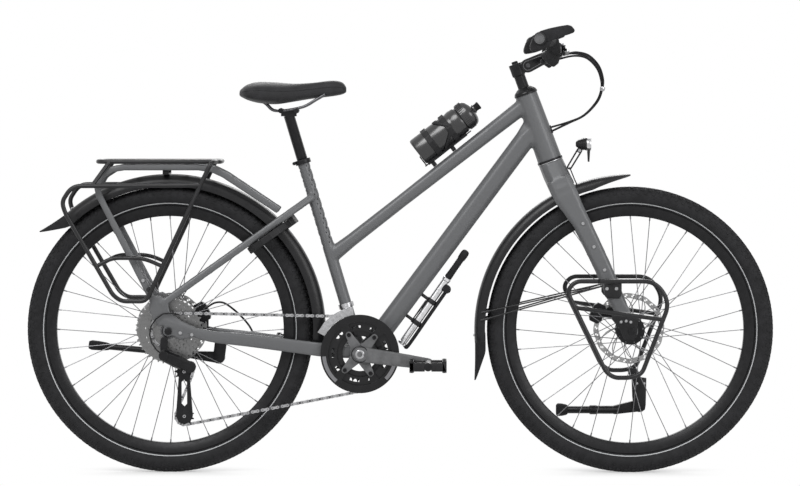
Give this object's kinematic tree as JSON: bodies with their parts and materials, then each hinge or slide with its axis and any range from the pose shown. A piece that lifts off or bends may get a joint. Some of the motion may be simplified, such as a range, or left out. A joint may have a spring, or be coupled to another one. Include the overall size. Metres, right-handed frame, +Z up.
{
  "type": "touring bicycle",
  "caption": "Rigid trekking bicycle with chain drive, disc brakes, mudguards, rear carrier, front low riders, folded kickstands, ring lock, pump and bottle.",
  "frame": {"origin": "halfway between the wheel axles on the plane the tyres stand on, in the bicycle's centre plane", "axes": "+X forward to the front wheel, +Y to the rider's left, +Z up; the drive side faces -Y"},
  "size_m": [1.878, 0.6466, 1.1198],
  "materials": {
    "frame_paint": "satin powder coat",
    "black_metal": "satin black anodised",
    "black_tube": "satin black",
    "black_rubber": "matte",
    "black_tyre": "matte",
    "saddle_cover": "matte",
    "dark_steel": "dark brushed",
    "silver_steel": "bright brushed",
    "silver_aluminium": "polished",
    "gloss_black": "gloss",
    "black_plastic": "matte",
    "smoked_plastic": "translucent grey"
  },
  "bodies": {
    "frame": {"main_frame": "frame_paint", "bottom_bracket": "dark_steel", "seat_clamp": "black_metal", "rear_carrier": "black_tube", "rear_mudguard": "black_plastic", "ring_lock": "black_plastic", "rear_stand_bracket": "black_metal", "rear_brake_caliper": "black_metal", "rear_derailleur": "black_metal", "front_derailleur": "silver_steel", "bottle_cage": "black_plastic", "pump_bracket": "black_plastic", "pump_barrel": "silver_aluminium", "rear_axle": "dark_steel", "rear_hose_tail": "black_rubber", "chain": "silver_steel"},
    "fork_assembly": {"fork": "frame_paint", "stem_riser": "black_metal", "front_mudguard": "black_plastic", "right_low_rider": "black_tube", "left_low_rider": "black_tube", "front_brake_caliper": "black_metal", "front_axle": "dark_steel", "rear_brake_hose": "black_rubber", "shift_cable": "black_rubber", "front_brake_hose": "black_rubber"},
    "cockpit": {"stem_extension": "black_metal", "handlebar": "black_metal", "right_grip": "black_rubber", "left_grip": "black_rubber", "right_controls": "black_plastic", "left_controls": "black_plastic"},
    "right_brake_lever": {"right_brake_lever": "black_metal"},
    "left_brake_lever": {"left_brake_lever": "black_metal"},
    "right_shift_lever": {"right_shift_lever": "black_plastic"},
    "left_shift_lever": {"left_shift_lever": "black_plastic"},
    "headlamp": {"headlamp": "gloss_black"},
    "rear_wheel": {"rear_tyre": "black_tyre", "rear_rim": "black_metal", "rear_hub": "dark_steel"},
    "front_wheel": {"front_tyre": "black_tyre", "front_rim": "black_metal", "front_hub": "dark_steel"},
    "crankset": {"outer_chainring": "dark_steel", "chain_guard": "black_plastic", "right_crank": "black_metal", "left_crank": "black_metal"},
    "right_pedal": {"right_pedal": "black_plastic"},
    "left_pedal": {"left_pedal": "black_plastic"},
    "cassette": {"cassette": "silver_steel"},
    "derailleur_cage": {"derailleur_cage": "black_metal"},
    "guide_pulley": {"guide_pulley": "black_plastic"},
    "tension_pulley": {"tension_pulley": "black_plastic"},
    "seat": {"seat_post": "black_metal", "saddle": "saddle_cover"},
    "pump_handle": {"pump_handle": "black_plastic"},
    "water_bottle": {"water_bottle": "smoked_plastic"},
    "rear_stand_leg": {"rear_stand_leg": "black_metal"},
    "front_stand_leg": {"front_stand_leg": "black_metal"},
    "lock_shackle": {"ring_lock_shackle": "dark_steel"}
  },
  "joints": [
    {"name": "steering", "type": "hinge", "parent": "frame", "child": "fork_assembly", "pos_m": [0.34663, 0, 0.86977], "axis": [-0.342, 0, 0.9397], "range_deg": [-45, 45], "deforming": ["rear_brake_hose", "shift_cable", "front_brake_hose"]},
    {"name": "stem_tilt", "type": "hinge", "parent": "fork_assembly", "child": "cockpit", "pos_m": [0.32233, 0, 1.02427], "axis": [0, 1, 0], "range_deg": [-30, 12], "deforming": ["rear_brake_hose", "shift_cable", "front_brake_hose"]},
    {"name": "right_brake_lever_pull", "type": "hinge", "parent": "cockpit", "child": "right_brake_lever", "pos_m": [0.40485, -0.152, 1.06179], "axis": [0, 0, -1], "range_deg": [0, 18], "stiffness_Nm_per_rad": 0.8, "springref_deg": -11.46},
    {"name": "left_brake_lever_pull", "type": "hinge", "parent": "cockpit", "child": "left_brake_lever", "pos_m": [0.40485, 0.152, 1.06179], "axis": [0, 0, 1], "range_deg": [0, 18], "stiffness_Nm_per_rad": 0.8, "springref_deg": -11.46},
    {"name": "right_shift_lever_push", "type": "hinge", "parent": "cockpit", "child": "right_shift_lever", "pos_m": [0.37285, -0.131, 1.04779], "axis": [0, -1, 0], "range_deg": [0, 25], "stiffness_Nm_per_rad": 0.2, "springref_deg": -17.19},
    {"name": "left_shift_lever_push", "type": "hinge", "parent": "cockpit", "child": "left_shift_lever", "pos_m": [0.37285, 0.131, 1.04779], "axis": [0, -1, 0], "range_deg": [0, 25], "stiffness_Nm_per_rad": 0.2, "springref_deg": -17.19},
    {"name": "headlamp_tilt", "type": "hinge", "parent": "fork_assembly", "child": "headlamp", "pos_m": [0.45105, 0, 0.81093], "axis": [0, 1, 0], "range_deg": [-12, 12]},
    {"name": "front_wheel_spin", "type": "hinge", "parent": "fork_assembly", "child": "front_wheel", "pos_m": [0.579, 0, 0.36], "axis": [0, 1, 0], "continuous": true},
    {"name": "rear_wheel_spin", "type": "hinge", "parent": "frame", "child": "rear_wheel", "pos_m": [-0.579, 0, 0.36], "axis": [0, 1, 0], "continuous": true},
    {"name": "crank_spin", "type": "hinge", "parent": "frame", "child": "crankset", "pos_m": [-0.1, 0, 0.302], "axis": [0, 1, 0], "continuous": true, "deforming": ["chain"]},
    {"name": "cassette_spin", "type": "hinge", "parent": "frame", "child": "cassette", "pos_m": [-0.579, 0, 0.36], "axis": [0, 1, 0], "continuous": true},
    {"name": "right_pedal_spin", "type": "hinge", "parent": "crankset", "child": "right_pedal", "pos_m": [0.07082, -0.1249, 0.27799], "axis": [0, 1, 0], "continuous": true},
    {"name": "left_pedal_spin", "type": "hinge", "parent": "crankset", "child": "left_pedal", "pos_m": [-0.27082, 0.1249, 0.32601], "axis": [0, 1, 0], "continuous": true},
    {"name": "derailleur_cage_swing", "type": "hinge", "parent": "frame", "child": "derailleur_cage", "pos_m": [-0.525, -0.066, 0.27], "axis": [0, 1, 0], "range_deg": [-20, 12], "stiffness_Nm_per_rad": 0.6, "deforming": ["chain"]},
    {"name": "guide_pulley_spin", "type": "hinge", "parent": "derailleur_cage", "child": "guide_pulley", "pos_m": [-0.541, -0.047, 0.257], "axis": [0, 1, 0], "continuous": true},
    {"name": "tension_pulley_spin", "type": "hinge", "parent": "derailleur_cage", "child": "tension_pulley", "pos_m": [-0.54076, -0.047, 0.145], "axis": [0, 1, 0], "continuous": true},
    {"name": "seat_height", "type": "slide", "parent": "frame", "child": "seat", "axis": [-0.2874, 0, 0.9578], "range_m": [-0.07, 0.06]},
    {"name": "pump_stroke", "type": "slide", "parent": "frame", "child": "pump_handle", "axis": [0.572, 0, 0.8203], "range_m": [0, 0.07]},
    {"name": "bottle_lift", "type": "slide", "parent": "frame", "child": "water_bottle", "axis": [0.7878, 0, 0.6159], "range_m": [0, 0.06]},
    {"name": "rear_stand_fold", "type": "hinge", "parent": "frame", "child": "rear_stand_leg", "pos_m": [-0.461, 0.083, 0.283], "axis": [0, -1, 0], "range_deg": [0, 100]},
    {"name": "front_stand_fold", "type": "hinge", "parent": "fork_assembly", "child": "front_stand_leg", "pos_m": [0.60852, 0.1256, 0.1568], "axis": [0, -1, 0], "range_deg": [0, 100]},
    {"name": "ring_lock_close", "type": "hinge", "parent": "frame", "child": "lock_shackle", "pos_m": [-0.33028, 0, 0.59269], "axis": [-0.5799, 0, 0.8147], "range_deg": [0, 78], "stiffness_Nm_per_rad": 0.15, "springref_deg": -17.19}
  ],
  "couplings": [
    {"joint": "cassette_spin", "follows": "crank_spin", "ratio": 2.0909},
    {"joint": "guide_pulley_spin", "follows": "crank_spin", "ratio": -4.1818},
    {"joint": "tension_pulley_spin", "follows": "crank_spin", "ratio": 4.1818}
  ]
}
